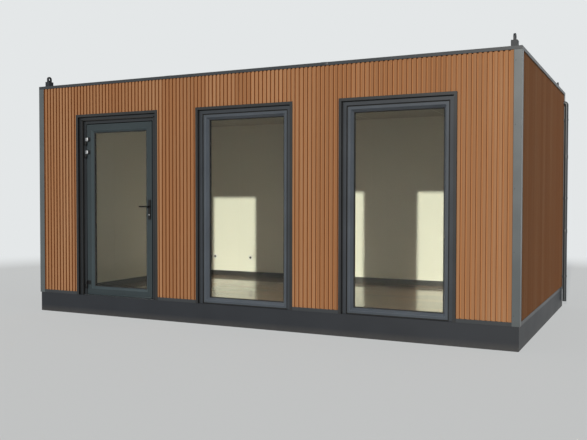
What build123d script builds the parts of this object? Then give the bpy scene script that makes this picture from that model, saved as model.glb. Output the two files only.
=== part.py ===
from build123d import *
import os

# One-storey prefabricated cabin. Millimetres, X along the long front, Y to the rear, Z up.
# The origin is the centre of the footprint at ground level.

# Overall size, over the corner trims and up to the roof cap
length = 6058.0
depth = 3500.0
height = 2896.0

# Layers of every wall, from the face of the trims inwards
trim_thickness = 6.0
cladding_thickness = 30.0
panel_thickness = 114.0

# Cladding boards, with a groove down each joint, measured from the middle of the wall
board_width = 200.0
board_groove_width = 20.0
board_groove_depth = 20.0
first_board_joint = 108.9

# Base frame and floor
base_inset = 10.0
base_height = 240.0
floor_level = 195.0
steel_wall = 6.0
joist_height = 120.0
joist_width = 60.0
joist_wall = 4.0
joist_count = 9
deck_thickness = 22.0
flooring_thickness = 8.0

# Roof
top_rail_height = 190.0
cap_thickness = 6.0
cap_height = 35.0
ceiling_thickness = 50.0
roof_front_drop = 16.0
roof_fall = 30.0

# Trims
corner_trim_width = 77.0
bottom_trim_height = 38.0
bottom_trim_setback = 2.0
surround_width = 32.0
surround_return = 4.0
skirting_height = 75.0
skirting_thickness = 15.0

# The three openings of the front, measured over their surrounds
opening_width = 1250.0
opening_drop = 391.0
end_pier_width = 614.0

# Fixed windows
window_frame_width = 44.0
window_frame_depth = 100.0
window_flange_width = 22.0
window_flange_depth = 14.0
sash_gap = 12.0
sash_width = 52.0
sash_setback = 6.0
window_glass_setback = 53.0
glass_thickness = 24.0
glass_rebate = 12.0
glass_edge_gap = 2.0
bead_width = 27.0
bead_lip = 5.0

# Door frame, stepped back towards the leaf, and door leaf
door_outer_band = 44.0
door_inner_band = 38.0
door_inner_setback = 28.0
door_frame_depth = 110.0
door_stop_width = 14.0
door_stop_gap = 6.0
threshold_height = 45.0
door_gap = 9.0
leaf_thickness = 62.0
stile_width = 96.0
rail_width = 98.0
door_glass_setback = 30.0

# Lift-off hinges
hinges_below_leaf_top = (212.0, 372.0)
hinge_above_leaf_bottom = 120.0
knuckle_radius = 11.0
knuckle_height = 50.0
knuckle_gap = 1.0
hinge_pin_radius = 6.0
hinge_pin_clearance = 0.1
hinge_plate_thickness = 5.0
hinge_frame_reach = 36.0
hinge_leaf_reach = 58.0

# Lever handles on long backplates
handle_height = 1358.0
handle_inset = 34.0
backplate_width = 38.0
backplate_height = 240.0
backplate_above_handle = 82.0
backplate_thickness = 10.0
backplate_corner = 6.0
lever_radius = 8.5
lever_length = 122.0
lever_projection = 39.0
lever_gap = 1.0
spindle_radius = 5.0
spindle_clearance = 0.5
cylinder_radius = 8.5
cylinder_drop = 100.0
cylinder_projection = 6.0
cylinder_clearance = 0.2

# Lifting lugs on the roof corners
lug_from_side = 87.0
lug_from_front = 95.0
lug_block_width = 62.0
lug_block_depth = 80.0
lug_block_height = 68.0
lug_plate_thickness = 20.0
lug_eye_radius = 35.0
lug_bore_radius = 16.0
lug_bore_height = 33.0

# Downpipe on the right wall, near the rear corner
pipe_radius = 25.0
pipe_wall = 2.0
pipe_gap = 5.0
pipe_from_rear = 118.0
pipe_bottom = 80.0
pipe_outlet_drop = 151.0
clip_thickness = 3.0
clip_height = 22.0
clip_above_pipe_end = 340.0
clip_below_outlet = 225.0

# Sockets on the rear wall
socket_size = 80.0
socket_thickness = 10.0
socket_well_radius = 20.0
socket_well_depth = 6.0
socket_height = 500.0
sockets_from_left = (493.0, 575.0, 1249.0)

# Levels and faces that follow from the sizes above
left = -length / 2
right = length / 2
front = -depth / 2
rear = depth / 2
skin = trim_thickness + cladding_thickness
wall = skin + panel_thickness
rail_top = height - cap_thickness
rail_bottom = rail_top - top_rail_height
cladding_bottom = base_height + bottom_trim_height
cladding_top = height - cap_height
opening_top = height - opening_drop
opening_pitch = right - end_pier_width - opening_width / 2
reveal_width = opening_width - 2 * surround_width
reveal_top = opening_top - surround_width
frame_face = front + skin
opening_centres = (-opening_pitch, 0.0, opening_pitch)
door_centre = opening_centres[0]
window_centres = opening_centres[1:]


def block(x0, x1, y0, y1, z0, z1):
    """A rectangular piece between two opposite corners."""
    centre = Pos((x0 + x1) / 2, (y0 + y1) / 2, (z0 + z1) / 2)
    return centre * Box(x1 - x0, y1 - y0, z1 - z0)


def rectangle_section(inset0, inset1, z0, z1):
    """Corner points of a section, as distances in from the outer face and heights."""
    return [(inset0, z0), (inset1, z0), (inset1, z1), (inset0, z1)]


def mitre_wedge(side):
    """The part of the plan that belongs to one side, cut at 45 degrees at the corners."""
    reach = depth / 2
    if side in ("front", "rear"):
        plan = [(left, front), (right, front), (right - reach, 0), (left + reach, 0)]
    else:
        plan = [(left, front), (left + reach, 0), (left, rear)]
    wedge = extrude(Polygon(*plan, align=None), height)
    if side == "rear":
        wedge = mirror(wedge, about=Plane.XZ)
    if side == "right":
        wedge = mirror(wedge, about=Plane.YZ)
    return wedge


def side_bar(side, section, hollow=None):
    """A bar along one side of the unit, mitred at both ends."""
    if side in ("front", "rear"):
        origin, plane, half = front, Plane.YZ, length / 2
    else:
        origin, plane, half = left, Plane.XZ, depth / 2
    face = Polygon(*[(origin + u, v) for u, v in section], align=None)
    if hollow:
        face -= Polygon(*[(origin + u, v) for u, v in hollow], align=None)
    bar = extrude(plane * face, half, both=True)
    if side == "rear":
        bar = mirror(bar, about=Plane.XZ)
    if side == "right":
        bar = mirror(bar, about=Plane.YZ)
    return bar & mitre_wedge(side)


def ring(section):
    """The same bar round all four sides, joined at the corners."""
    return side_bar("front", section) + side_bar("rear", section) \
        + side_bar("left", section) + side_bar("right", section)


def through_openings(width, z0, z1):
    """Blocks that clear the three front openings through the whole wall."""
    return [block(x - width / 2, x + width / 2, front - wall, front + 2 * wall, z0, z1)
            for x in opening_centres]


def picture_frame(centre, inset0, inset1, y0, y1):
    """A rectangular ring inside a front opening, between two insets from its reveal."""
    half = reveal_width / 2
    outer = block(centre - half + inset0, centre + half - inset0, y0, y1,
                  floor_level + inset0, reveal_top - inset0)
    inner = block(centre - half + inset1, centre + half - inset1, y0, y1,
                  floor_level + inset1, reveal_top - inset1)
    return outer - inner


def bevel_bead(piece, glass_setback):
    """Bevels the inner edge of a glazed ring from its outer face down to the pane."""
    outer_face = piece.faces().sort_by(Axis.Y)[0]
    edges = outer_face.inner_wires()[0].edges()
    return chamfer(edges, bead_width, glass_setback - bead_lip, reference=outer_face)


def fuse(first, *others):
    """Joins pieces that touch into one solid without the seams between them."""
    return first.fuse(*others).clean()


def write(name, *pieces):
    """Saves one named piece, or several like pieces that stand apart."""
    shape = pieces[0] if len(pieces) == 1 else Compound(children=list(pieces))
    export_step(shape, f"parts/{name}.step")


# Base frame: a hollow steel section with an upstand lip that carries the cladding
def base_beam(side):
    section = [(base_inset, 0), (wall, 0), (wall, floor_level), (skin, floor_level),
               (skin, base_height), (base_inset, base_height)]
    hollow = rectangle_section(base_inset + steel_wall, wall - steel_wall,
                               steel_wall, floor_level - steel_wall)
    return side_bar(side, section, hollow)


# Floor: channel joists between the long beams, a deck on them, and flooring on that
deck_bottom = floor_level - flooring_thickness - deck_thickness


def floor_joist(x):
    joist = block(x, x + joist_width, front + wall, rear - wall,
                  deck_bottom - joist_height, deck_bottom)
    channel = block(x + joist_wall, x + joist_width, front + wall, rear - wall,
                    deck_bottom - joist_height + joist_wall, deck_bottom - joist_wall)
    return joist - channel


def floor_joists():
    spacing = (length - 2 * wall - joist_width) / (joist_count - 1)
    return [floor_joist(left + wall + i * spacing) for i in range(joist_count)]


def room_slab(z0, z1):
    """A slab that fills the plan of the room between the wall panels."""
    return block(left + wall, right - wall, front + wall, rear - wall, z0, z1)


# Corner posts stand on the base beams and carry the top rails
def corner_post():
    post = block(left + skin, left + wall, front + skin, front + wall,
                 floor_level, rail_bottom)
    hollow = block(left + skin + steel_wall, left + wall - steel_wall,
                   front + skin + steel_wall, front + wall - steel_wall,
                   floor_level, rail_bottom)
    return post - hollow


def at_four_corners(piece):
    across = mirror(piece, about=Plane.YZ)
    return [piece, across, mirror(piece, about=Plane.XZ), mirror(across, about=Plane.XZ)]


def top_rail(side):
    section = rectangle_section(skin, wall, rail_bottom, rail_top)
    hollow = rectangle_section(skin + steel_wall, wall - steel_wall,
                               rail_bottom + steel_wall, rail_top - steel_wall)
    return side_bar(side, section, hollow)


# Roof: a panel between the rails that falls to the rear, and a cap over the rails
def roof_panel():
    start = front + wall
    end = rear - wall
    high = rail_top - roof_front_drop
    profile = [(start, rail_bottom), (end, rail_bottom), (end, high - roof_fall), (start, high)]
    slab = Plane.YZ * Polygon(*profile, align=None)
    return extrude(slab, length / 2 - wall, both=True)


def roof_cap():
    section = [(0, cladding_top), (trim_thickness, cladding_top), (trim_thickness, rail_top),
               (wall, rail_top), (wall, height), (0, height)]
    return ring(section)


def lifting_lug():
    x = left + lug_from_side
    y = front + lug_from_front
    base = block(x - lug_block_width / 2, x + lug_block_width / 2,
                 y - lug_block_depth / 2, y + lug_block_depth / 2,
                 height, height + lug_block_height)
    bore_z = height + lug_block_height + lug_bore_height
    shank = block(x - lug_plate_thickness / 2, x + lug_plate_thickness / 2,
                  y - lug_eye_radius, y + lug_eye_radius,
                  height + lug_block_height, bore_z)
    across = Pos(x, y, bore_z) * Rot(0, 90, 0)
    eye = across * Cylinder(lug_eye_radius, lug_plate_thickness)
    bore = across * Cylinder(lug_bore_radius, lug_plate_thickness)
    return base + shank + eye - bore


# Wall panels: insulated, with a pale inner face
def front_wall_piers():
    ends = [left + wall]
    for x in opening_centres:
        ends += [x - reveal_width / 2, x + reveal_width / 2]
    ends.append(right - wall)
    return [block(ends[i], ends[i + 1], front + skin, front + wall, floor_level, reveal_top)
            for i in range(0, len(ends), 2)]


def front_wall_header():
    return block(left + wall, right - wall, front + skin, front + wall,
                 reveal_top, rail_bottom)


def side_wall():
    return block(left + skin, left + wall, front + wall, rear - wall,
                 floor_level, rail_bottom)


def rear_wall():
    return block(left + wall, right - wall, rear - wall, rear - skin,
                 floor_level, rail_bottom)


# Cladding: an outer skin on every side, cut round the surrounds of the openings
cladding_section = rectangle_section(trim_thickness, skin, cladding_bottom, cladding_top)
cut_width = reveal_width + 2 * surround_return
cut_top = reveal_top + surround_return


def board_joints(half_length):
    """Places of the joints between boards that show between the corner trims of a wall."""
    reach = half_length - corner_trim_width - board_groove_width
    count = int(reach // board_width) + 1
    places = [first_board_joint + i * board_width for i in range(-count, count + 1)]
    return [place for place in places if abs(place) < reach]


def wall_cladding(side):
    """The cladding of one wall, grooved from its outer face at every board joint."""
    half = board_groove_width / 2
    near, far = trim_thickness, trim_thickness + board_groove_depth
    if side in ("front", "rear"):
        grooves = [block(x - half, x + half, front + near, front + far,
                         cladding_bottom, cladding_top) for x in board_joints(length / 2)]
    else:
        grooves = [block(left + near, left + far, y - half, y + half,
                         cladding_bottom, cladding_top) for y in board_joints(depth / 2)]
    if side == "rear":
        grooves = [mirror(groove, about=Plane.XZ) for groove in grooves]
    if side == "right":
        grooves = [mirror(groove, about=Plane.YZ) for groove in grooves]
    return side_bar(side, cladding_section) - grooves


def front_cladding():
    skin_board = wall_cladding("front")
    for gap in through_openings(cut_width, 0, cut_top):
        skin_board -= gap
    header_zone = block(left, right, front - wall, front + wall, cut_top, height)
    pier_zone = block(left, right, front - wall, front + wall, 0, cut_top)
    return skin_board & header_zone, (skin_board & pier_zone).solids()


# Trims
def corner_trim():
    near = trim_thickness
    plan = [(0, 0), (corner_trim_width, 0), (corner_trim_width, near),
            (near, near), (near, corner_trim_width), (0, corner_trim_width)]
    outline = Polygon(*[(left + x, front + y) for x, y in plan], align=None)
    return Pos(0, 0, base_height) * extrude(outline, cladding_top - base_height)


def bottom_trim():
    section = rectangle_section(bottom_trim_setback, skin, base_height, cladding_bottom)
    trim = ring(section)
    for gap in through_openings(cut_width, 0, cut_top):
        trim -= gap
    # Corner trims and surrounds stand over its ends, so it is cut back behind them
    for piece in at_four_corners(corner_trim()):
        trim -= piece
    for x in opening_centres:
        trim -= opening_surround(x)
    return trim.solids()


def opening_surround(centre):
    half = opening_width / 2
    reveal = reveal_width / 2
    outer = block(centre - half, centre + half, front, front + trim_thickness,
                  base_height, opening_top)
    lining = block(centre - cut_width / 2, centre + cut_width / 2, front + trim_thickness,
                   front + skin, base_height, cut_top)
    hole = block(centre - reveal, centre + reveal, front, front + skin,
                 base_height, reveal_top)
    return outer + lining - hole


def skirting():
    section = rectangle_section(wall, wall + skirting_thickness,
                                floor_level, floor_level + skirting_height)
    board = ring(section)
    for gap in through_openings(reveal_width, 0, reveal_top):
        board -= gap
    return board.solids()


# Fixed windows: an outer frame with a rear flange, a sash against it, and a sealed pane
def window_frame(centre):
    flange_face = frame_face + window_frame_depth - window_flange_depth
    body = picture_frame(centre, 0, window_frame_width, frame_face, flange_face)
    flange = picture_frame(centre, 0, window_frame_width + window_flange_width,
                           flange_face, frame_face + window_frame_depth)
    return body + flange


def window_sash(centre):
    start = window_frame_width + sash_gap
    face = frame_face + sash_setback
    back = frame_face + window_frame_depth - window_flange_depth
    ring_piece = picture_frame(centre, start, start + sash_width, face, back)
    sash = bevel_bead(ring_piece, window_glass_setback - sash_setback)
    pane_face = frame_face + window_glass_setback
    groove = picture_frame(centre, start + sash_width - glass_rebate, start + 2 * sash_width,
                           pane_face, pane_face + glass_thickness)
    return sash - groove


def window_glass(centre):
    inset = window_frame_width + sash_gap + sash_width - glass_rebate + glass_edge_gap
    half = reveal_width / 2 - inset
    pane_face = frame_face + window_glass_setback
    return block(centre - half, centre + half, pane_face, pane_face + glass_thickness,
                 floor_level + inset, reveal_top - inset)


# Door frame: an outer band, an inner band set back, and a stop behind the leaf
frame_left = door_centre - reveal_width / 2
frame_right = door_centre + reveal_width / 2
frame_back = frame_face + door_frame_depth
frame_sight = door_outer_band + door_inner_band
leaf_face = frame_face + door_inner_setback
leaf_back = leaf_face + leaf_thickness
stop_face = leaf_back + door_stop_gap
threshold_top = floor_level + threshold_height


# Each band of the frame: how far in from the reveal it starts and ends, and its outer face
door_bands = [(0, door_outer_band, frame_face),
              (door_outer_band, frame_sight, leaf_face),
              (frame_sight, frame_sight + door_stop_width, stop_face)]


def door_jamb():
    return fuse(*[block(frame_left + inset0, frame_left + inset1, face, frame_back,
                        floor_level, reveal_top)
                  for inset0, inset1, face in door_bands])


def opposite_jamb(jamb):
    return mirror(jamb, about=Plane.YZ.offset(door_centre))


def door_head(jamb):
    head = fuse(*[block(frame_left, frame_right, face, frame_back,
                        reveal_top - inset1, reveal_top - inset0)
                  for inset0, inset1, face in door_bands])
    return head - jamb - opposite_jamb(jamb)


def door_threshold(jamb):
    sill = block(frame_left, frame_right, frame_face, frame_back, floor_level, threshold_top)
    stop = block(frame_left, frame_right, stop_face, frame_back,
                 threshold_top, threshold_top + door_stop_width)
    return fuse(sill, stop) - jamb - opposite_jamb(jamb)


# Door leaf: a glazed ring with stiles and rails
leaf_left = frame_left + frame_sight + door_gap
leaf_right = frame_right - frame_sight - door_gap
leaf_bottom = threshold_top + door_gap
leaf_top = reveal_top - frame_sight - door_gap
handle_x = leaf_right - handle_inset


def leaf_block(grow, y0, y1):
    """The daylight opening of the leaf, grown by an amount on every side."""
    return block(leaf_left + stile_width - grow, leaf_right - stile_width + grow, y0, y1,
                 leaf_bottom + rail_width - grow, leaf_top - rail_width + grow)


def along_y(x, z, radius, y0, y1):
    """A round bar along Y."""
    centre = Pos(x, (y0 + y1) / 2, z) * Rot(90, 0, 0)
    return centre * Cylinder(radius, y1 - y0)


def door_leaf():
    slab = block(leaf_left, leaf_right, leaf_face, leaf_back, leaf_bottom, leaf_top)
    leaf = bevel_bead(slab - leaf_block(0, leaf_face, leaf_back), door_glass_setback)
    pane_face = leaf_face + door_glass_setback
    leaf -= leaf_block(glass_rebate, pane_face, pane_face + glass_thickness)
    leaf -= along_y(handle_x, handle_height, spindle_radius + spindle_clearance,
                    leaf_face, leaf_back)
    leaf -= along_y(handle_x, handle_height - cylinder_drop,
                    cylinder_radius + cylinder_clearance, leaf_face, leaf_back)
    return leaf


def door_glass():
    pane_face = leaf_face + door_glass_setback
    return leaf_block(glass_rebate - glass_edge_gap, pane_face, pane_face + glass_thickness)


# Hinges: the pin stands on the frame's half and the leaf's half turns on it
hinge_heights = [leaf_bottom + hinge_above_leaf_bottom] \
    + [leaf_top - drop for drop in hinges_below_leaf_top]
hinge_x = leaf_left - door_gap / 2
hinge_y = leaf_face - knuckle_radius


def hinge_plate(z, reach):
    """A flat plate from the axis to one side, negative towards the frame."""
    return block(min(hinge_x, hinge_x + reach), max(hinge_x, hinge_x + reach),
                 leaf_face - hinge_plate_thickness, leaf_face, z, z + knuckle_height)


def upright(radius, z0, z1):
    return Pos(hinge_x, hinge_y, (z0 + z1) / 2) * Cylinder(radius, z1 - z0)


def hinge_frame_half(middle):
    low = middle - knuckle_gap / 2 - knuckle_height
    barrel = upright(knuckle_radius, low, low + knuckle_height)
    pin = upright(hinge_pin_radius, low, middle + knuckle_height)
    return hinge_plate(low, -hinge_frame_reach) + barrel + pin


def hinge_leaf_half(middle):
    low = middle + knuckle_gap / 2
    barrel = upright(knuckle_radius, low, low + knuckle_height)
    bore = upright(hinge_pin_radius + hinge_pin_clearance, low, low + knuckle_height)
    return hinge_plate(low, hinge_leaf_reach) + barrel - bore


# Handle: two long backplates, a lock cylinder and one pair of levers on a spindle
def backplate(y0):
    top = handle_height + backplate_above_handle
    plate = block(handle_x - backplate_width / 2, handle_x + backplate_width / 2,
                  y0, y0 + backplate_thickness, top - backplate_height, top)
    plate = fillet(plate.edges().filter_by(Axis.Y), backplate_corner)
    plate -= along_y(handle_x, handle_height, spindle_radius + spindle_clearance,
                     y0, y0 + backplate_thickness)
    plate -= along_y(handle_x, handle_height - cylinder_drop,
                     cylinder_radius + cylinder_clearance, y0, y0 + backplate_thickness)
    return plate


plate_outer_face = leaf_face - backplate_thickness
plate_inner_face = leaf_back + backplate_thickness


def lock_cylinder():
    return along_y(handle_x, handle_height - cylinder_drop, cylinder_radius,
                   plate_outer_face - cylinder_projection, plate_inner_face + cylinder_projection)


def lever_bar():
    """A round bar out of the plate, mitred and turned along the leaf."""
    start = plate_outer_face - lever_gap
    route = Polyline((handle_x, start, handle_height),
                     (handle_x, start - lever_projection, handle_height),
                     (handle_x - lever_length, start - lever_projection, handle_height))
    profile = Plane(origin=route @ 0, z_dir=route % 0) * Circle(lever_radius)
    return sweep(profile, path=route, transition=Transition.RIGHT)


def lever_pair():
    outside = lever_bar()
    inside = mirror(outside, about=Plane.XZ.offset(-(leaf_face + leaf_back) / 2))
    spindle = along_y(handle_x, handle_height, spindle_radius,
                      plate_outer_face - lever_gap, plate_inner_face + lever_gap)
    return outside + inside + spindle


# Downpipe: leaves the wall under the roof cap and runs down to just above the ground
pipe_x = right + pipe_gap + pipe_radius
pipe_y = rear - pipe_from_rear
pipe_outlet_height = height - pipe_outlet_drop
lowest_clip = pipe_bottom + clip_above_pipe_end
highest_clip = pipe_outlet_height - clip_below_outlet
clip_heights = (lowest_clip, (lowest_clip + highest_clip) / 2, highest_clip)


def downpipe():
    route = FilletPolyline((right - trim_thickness, pipe_y, pipe_outlet_height),
                           (pipe_x, pipe_y, pipe_outlet_height),
                           (pipe_x, pipe_y, pipe_bottom), radius=pipe_radius + clip_thickness)
    across = Plane(origin=route @ 0, z_dir=route % 0)
    outer = sweep(across * Circle(pipe_radius), path=route)
    inner = sweep(across * Circle(pipe_radius - pipe_wall), path=route)
    return outer - inner


def pipe_clip(z):
    band = Pos(pipe_x, pipe_y, z) * Cylinder(pipe_radius + clip_thickness, clip_height)
    foot = block(right - trim_thickness, pipe_x, pipe_y - pipe_radius / 2,
                 pipe_y + pipe_radius / 2, z - clip_height / 2, z + clip_height / 2)
    bore = Pos(pipe_x, pipe_y, z) * Cylinder(pipe_radius, clip_height)
    return band + foot - bore


def wall_socket(x):
    face = rear - wall
    half = socket_size / 2
    plate = block(x - half, x + half, face - socket_thickness, face,
                  socket_height - half, socket_height + half)
    well = along_y(x, socket_height, socket_well_radius,
                   face - socket_thickness, face - socket_thickness + socket_well_depth)
    return plate - well


os.makedirs("parts", exist_ok=True)

write("base_front_beam", base_beam("front"))
write("base_rear_beam", base_beam("rear"))
write("base_side_beams", base_beam("left"), base_beam("right"))
write("floor_joists", *floor_joists())
write("floor_deck", room_slab(deck_bottom, deck_bottom + deck_thickness))
write("flooring", room_slab(floor_level - flooring_thickness, floor_level))

write("corner_posts", *at_four_corners(corner_post()))
write("top_front_rail", top_rail("front"))
write("top_rear_rail", top_rail("rear"))
write("top_side_rails", top_rail("left"), top_rail("right"))
write("roof_panel", roof_panel())
write("ceiling_panel", room_slab(rail_bottom - ceiling_thickness, rail_bottom))
write("roof_cap", roof_cap())
write("lifting_lugs", *at_four_corners(lifting_lug()))

write("front_wall_piers", *front_wall_piers())
write("front_wall_header", front_wall_header())
write("left_wall", side_wall())
write("right_wall", mirror(side_wall(), about=Plane.YZ))
write("rear_wall", rear_wall())

header_boards, pier_boards = front_cladding()
write("cladding_front_header", header_boards)
write("cladding_front_piers", *pier_boards)
for side in ("left", "right", "rear"):
    write(f"cladding_{side}", wall_cladding(side))

write("corner_trims", *at_four_corners(corner_trim()))
write("bottom_trim", *bottom_trim())
write("opening_surrounds", *[opening_surround(x) for x in opening_centres])
write("skirting_boards", *skirting())

for number, centre in enumerate(window_centres, start=1):
    write(f"window_{number}_frame", window_frame(centre))
    write(f"window_{number}_sash", window_sash(centre))
write("window_glass", *[window_glass(x) for x in window_centres])

left_jamb = door_jamb()
write("door_jambs", left_jamb, opposite_jamb(left_jamb))
write("door_head", door_head(left_jamb))
write("door_threshold", door_threshold(left_jamb))
write("door_leaf", door_leaf())
write("door_glass", door_glass())
write("hinge_frame_halves", *[hinge_frame_half(z) for z in hinge_heights])
write("hinge_leaf_halves", *[hinge_leaf_half(z) for z in hinge_heights])
write("handle_backplates", backplate(plate_outer_face), backplate(leaf_back))
write("lock_cylinder", lock_cylinder())
write("lever_handles", lever_pair())

write("downpipe", downpipe())
write("downpipe_clips", *[pipe_clip(z) for z in clip_heights])
write("wall_sockets", *[wall_socket(left + x) for x in sockets_from_left])
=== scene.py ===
import math
import random

import bmesh
import bpy
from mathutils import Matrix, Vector


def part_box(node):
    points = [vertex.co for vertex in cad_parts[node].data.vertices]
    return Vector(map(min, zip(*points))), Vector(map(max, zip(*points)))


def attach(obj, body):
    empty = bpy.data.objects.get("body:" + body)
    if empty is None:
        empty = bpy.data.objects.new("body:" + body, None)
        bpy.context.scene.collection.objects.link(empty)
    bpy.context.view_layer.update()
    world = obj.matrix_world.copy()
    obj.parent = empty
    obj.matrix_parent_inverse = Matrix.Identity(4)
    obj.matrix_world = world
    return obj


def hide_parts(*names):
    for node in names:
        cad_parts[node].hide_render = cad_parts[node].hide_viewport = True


# Garden cabin with fluted boards, anthracite trims, two fixed windows and a glazed door.
# Metres, X along the front, Y to the rear, Z up.
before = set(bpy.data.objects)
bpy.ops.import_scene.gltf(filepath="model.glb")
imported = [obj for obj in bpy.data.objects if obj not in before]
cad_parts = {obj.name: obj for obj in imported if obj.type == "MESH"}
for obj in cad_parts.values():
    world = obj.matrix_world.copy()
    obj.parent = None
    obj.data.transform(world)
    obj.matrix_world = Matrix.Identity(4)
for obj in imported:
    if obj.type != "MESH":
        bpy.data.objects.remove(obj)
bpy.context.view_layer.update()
rng = random.Random(11)
MM = 0.001

# Places of the building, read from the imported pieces. The door is the opening on the left.
left_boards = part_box("cladding_left")
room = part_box("flooring")
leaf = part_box("door_leaf")
window_1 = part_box("window_1_frame")
window_2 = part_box("window_2_frame")
frame_face = window_1[0].y
window_2_centre = (window_2[0].x + window_2[1].x) / 2
opening_centres = (-window_2_centre, 0.0, window_2_centre)
window_centres = opening_centres[1:]

# Sizes that several pieces share
leaf_gap = 9 * MM
sill = leaf[0].z - leaf_gap
pane_edge = 10 * MM
sealant = 8 * MM

# Sockets that share their name with others on the node, and so go by number
FACTOR, FIRST, SECOND, MIXED = 0, 6, 7, 2


# Colour and node helpers
def linear(colour, shade=1.0):
    """An sRGB hex colour as linear red, green, blue and alpha, lighter or darker by a shade."""
    channels = [int(colour[i:i + 2], 16) / 255 for i in (0, 2, 4)]
    channels = [c / 12.92 if c <= 0.04045 else ((c + 0.055) / 1.055) ** 2.4 for c in channels]
    return [c * shade for c in channels] + [1]


def per_metre(size_mm):
    """Texture scale that gives features of a size in millimetres."""
    return 1000 / size_mm


def per_metre_each(x_mm, y_mm, z_mm):
    """Texture scale of a grain with its own size in millimetres along each axis."""
    return per_metre(x_mm), per_metre(y_mm), per_metre(z_mm)


def add(tree, kind, inputs=None, **settings):
    """Adds a node with its settings, and fills its sockets with values or links."""
    node = tree.nodes.new(kind)
    for name, value in settings.items():
        setattr(node, name, value)
    for socket, value in (inputs or {}).items():
        if isinstance(value, bpy.types.NodeSocket):
            tree.links.new(value, node.inputs[socket])
        else:
            node.inputs[socket].default_value = value
    return node


def start_material(name):
    """An empty material, its nodes, and the place on the piece in metres."""
    material = bpy.data.materials.new(name)
    material.use_nodes = True
    tree = material.node_tree
    tree.nodes.clear()
    place = add(tree, "ShaderNodeTexCoord").outputs["Object"]
    return material, tree, place


# Powder coat on steel and aluminium: baked polyester resin over metal. To the eye it is a
# satin film with a faint orange-peel waviness, slight batch clouds, and dust near the ground.
def powder_coat(name, colour, roughness, peel_mm=14, dust_height_mm=0, gloss=0.3):
    material, tree, place = start_material(name)
    cloud_mm, splash_mm = 420, 60
    cloud = add(tree, "ShaderNodeTexNoise", {
        "Vector": place, "Scale": per_metre(cloud_mm), "Detail": 4.0}).outputs["Fac"]
    film = add(tree, "ShaderNodeMix", {
        FACTOR: cloud, FIRST: linear(colour, 0.78), SECOND: linear(colour, 1.28)},
        data_type="RGBA").outputs[MIXED]
    if dust_height_mm:
        height = add(tree, "ShaderNodeSeparateXYZ", {"Vector": place}).outputs["Z"]
        low = add(tree, "ShaderNodeMapRange", {
            "Value": height, "From Min": 0.0, "From Max": dust_height_mm * MM,
            "To Min": 0.2, "To Max": 0.0}).outputs["Result"]
        splash = add(tree, "ShaderNodeTexNoise", {
            "Vector": place, "Scale": per_metre(splash_mm), "Detail": 6.0,
            "Roughness": 0.7}).outputs["Fac"]
        dusty = add(tree, "ShaderNodeMath", {0: low, 1: splash}, operation="MULTIPLY")
        film = add(tree, "ShaderNodeMix", {
            FACTOR: dusty.outputs["Value"], FIRST: film, SECOND: linear("8C857A")},
            data_type="RGBA").outputs[MIXED]
    # Real orange peel is about 2 mm across, drawn coarser so that it shows
    peel = add(tree, "ShaderNodeTexNoise", {
        "Vector": place, "Scale": per_metre(peel_mm), "Detail": 1.0}).outputs["Fac"]
    bump = add(tree, "ShaderNodeBump", {
        "Height": peel, "Strength": 0.12, "Distance": 0.4 * MM}).outputs["Normal"]
    rub = add(tree, "ShaderNodeMapRange", {
        "Value": cloud, "To Min": roughness - 0.06,
        "To Max": roughness + 0.08}).outputs["Result"]
    coat = add(tree, "ShaderNodeBsdfPrincipled", {
        "Base Color": film, "Roughness": rub, "IOR": 1.5, "Specular IOR Level": gloss,
        "Normal": bump}).outputs["BSDF"]
    add(tree, "ShaderNodeOutputMaterial", {"Surface": coat})
    return material


# Wood-plastic composite: wood flour in plastic, extruded as fluted board and brushed. To the
# eye, matt tan ribs with fine streaks along the board, redder groove floors, boards of unlike
# tone, and painted shade that darkens the walls of the grooves.
def wood_plastic_composite():
    material, tree, place = start_material("wood_plastic_composite")
    # Brush lines are under 1 mm apart, and the streaks are 7 mm apart so that they show
    patch_mm, streak_mm, band_mm = (260, 260, 900), (7, 7, 420), (38, 38, 2600)
    patterns = []
    for grain_mm, detail, harshness in ((patch_mm, 2.0, 0.5), (streak_mm, 5.0, 0.65),
                                        (band_mm, 1.0, 0.5)):
        grain = add(tree, "ShaderNodeMapping", {
            "Vector": place, "Scale": per_metre_each(*grain_mm)}).outputs["Vector"]
        patterns.append(add(tree, "ShaderNodeTexNoise", {
            "Vector": grain, "Scale": 1.0, "Detail": detail,
            "Roughness": harshness}).outputs["Fac"])
    patch, streak, band = patterns
    tone = add(tree, "ShaderNodeAttribute", attribute_name="board_tone").outputs["Fac"]
    depth = add(tree, "ShaderNodeAttribute", attribute_name="groove_depth").outputs["Fac"]
    colour = add(tree, "ShaderNodeMix", {
        FACTOR: tone, FIRST: linear("936C4D"), SECOND: linear("B28C6B")},
        data_type="RGBA").outputs[MIXED]
    # Each stain grows to its share as its pattern goes from one level to the next. The two
    # entries that follow the groove depth paint shade on the groove walls, then give the floors
    # a redder tan.
    stains_and_groove_shade = ((patch, 0.35, 0.7, 0.35, "A7724A"), (streak, 0.3, 0.75, 0.45, "8F5F3C"),
              (band, 0.3, 0.7, 0.5, "8C6242"), (depth, 0.0, 0.04, 1.0, "84522F"),
              (depth, 0.9, 1.0, 1.0, "AC7A52"))
    for pattern, start, full, share, stain_and_shade_colour in stains_and_groove_shade:
        spread = add(tree, "ShaderNodeMapRange", {
            "Value": pattern, "From Min": start, "From Max": full, "To Min": 0.0,
            "To Max": share}).outputs["Result"]
        colour = add(tree, "ShaderNodeMix", {
            FACTOR: spread, FIRST: colour, SECOND: linear(stain_and_shade_colour)},
            data_type="RGBA").outputs[MIXED]
    bump = add(tree, "ShaderNodeBump", {
        "Height": streak, "Strength": 0.35, "Distance": 0.6 * MM}).outputs["Normal"]
    board = add(tree, "ShaderNodeBsdfPrincipled", {
        "Base Color": colour, "Roughness": 0.75, "IOR": 1.48, "Specular IOR Level": 0.08,
        "Normal": bump}).outputs["BSDF"]
    add(tree, "ShaderNodeOutputMaterial", {"Surface": board})
    return material


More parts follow.
